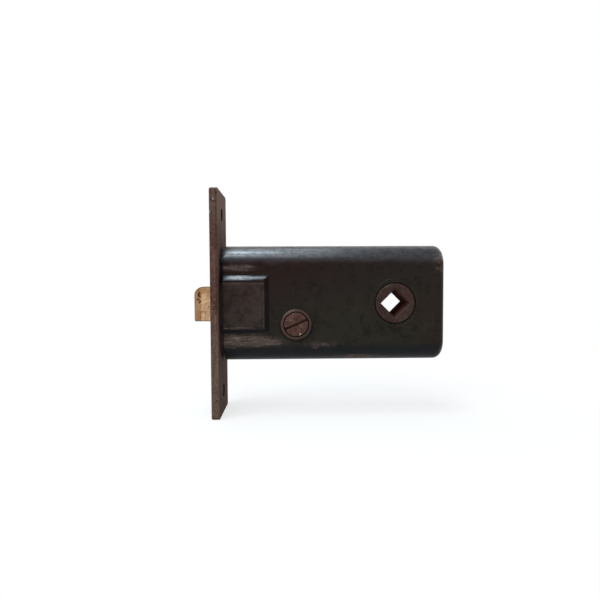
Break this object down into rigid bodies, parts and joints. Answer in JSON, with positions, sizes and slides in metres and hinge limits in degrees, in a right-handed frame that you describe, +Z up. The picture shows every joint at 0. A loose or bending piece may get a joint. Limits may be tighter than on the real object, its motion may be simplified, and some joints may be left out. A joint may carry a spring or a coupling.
{
  "type": "mortice latch",
  "caption": "Cast-iron mortice latch: a flat forend with a sprung brass bolt on a slim round-edged case, worked by a square-holed follower.",
  "frame": {"origin": "centre of the forend's seating face, which lies on the door's edge, level with the bolt and the follower", "axes": "+X into the door along the case, +Y through the door's thickness away from the case screw's head, +Z up"},
  "size_m": [0.0884, 0.0222, 0.0794],
  "materials": {
    "japanned_iron": "black japan on cast iron, worn brown at the edges",
    "brown_iron": "bare iron with a brown patina",
    "bare_iron": "oiled casting",
    "dark_steel": "dull drawn steel",
    "brass": "aged cast brass, scratched and stained"
  },
  "bodies": {
    "case": {"case_body": "japanned_iron", "case_cover": "japanned_iron", "case_screw": "brown_iron", "forend": "brown_iron", "forend_screws": "brown_iron", "yoke_spring_upper": "dark_steel", "yoke_spring_lower": "dark_steel"},
    "follower": {"follower": "brown_iron"},
    "yoke": {"yoke": "bare_iron", "bolt_spring": "dark_steel"},
    "bolt": {"bolt_head": "brass", "tail_rod": "dark_steel", "tail_nut": "dark_steel"}
  },
  "joints": [
    {"name": "follower_turn", "type": "hinge", "parent": "case", "child": "follower", "pos_m": [0.06125, 0, 0], "axis": [0, 1, 0], "range_deg": [0, 42.02]},
    {"name": "yoke_slide", "type": "slide", "parent": "case", "child": "yoke", "axis": [1, 0, 0], "range_m": [0, 0.0066], "stiffness_N_per_m": 1000, "springref_m": -0.0027, "deforming": ["yoke_spring_upper", "yoke_spring_lower"]},
    {"name": "bolt_push", "type": "slide", "parent": "yoke", "child": "bolt", "axis": [1, 0, 0], "range_m": [0, 0.0066], "stiffness_N_per_m": 350, "springref_m": -0.01, "deforming": ["bolt_spring"]}
  ],
  "couplings": [
    {"joint": "follower_turn", "follows": "yoke_slide", "rad_per_m": 111.11}
  ]
}
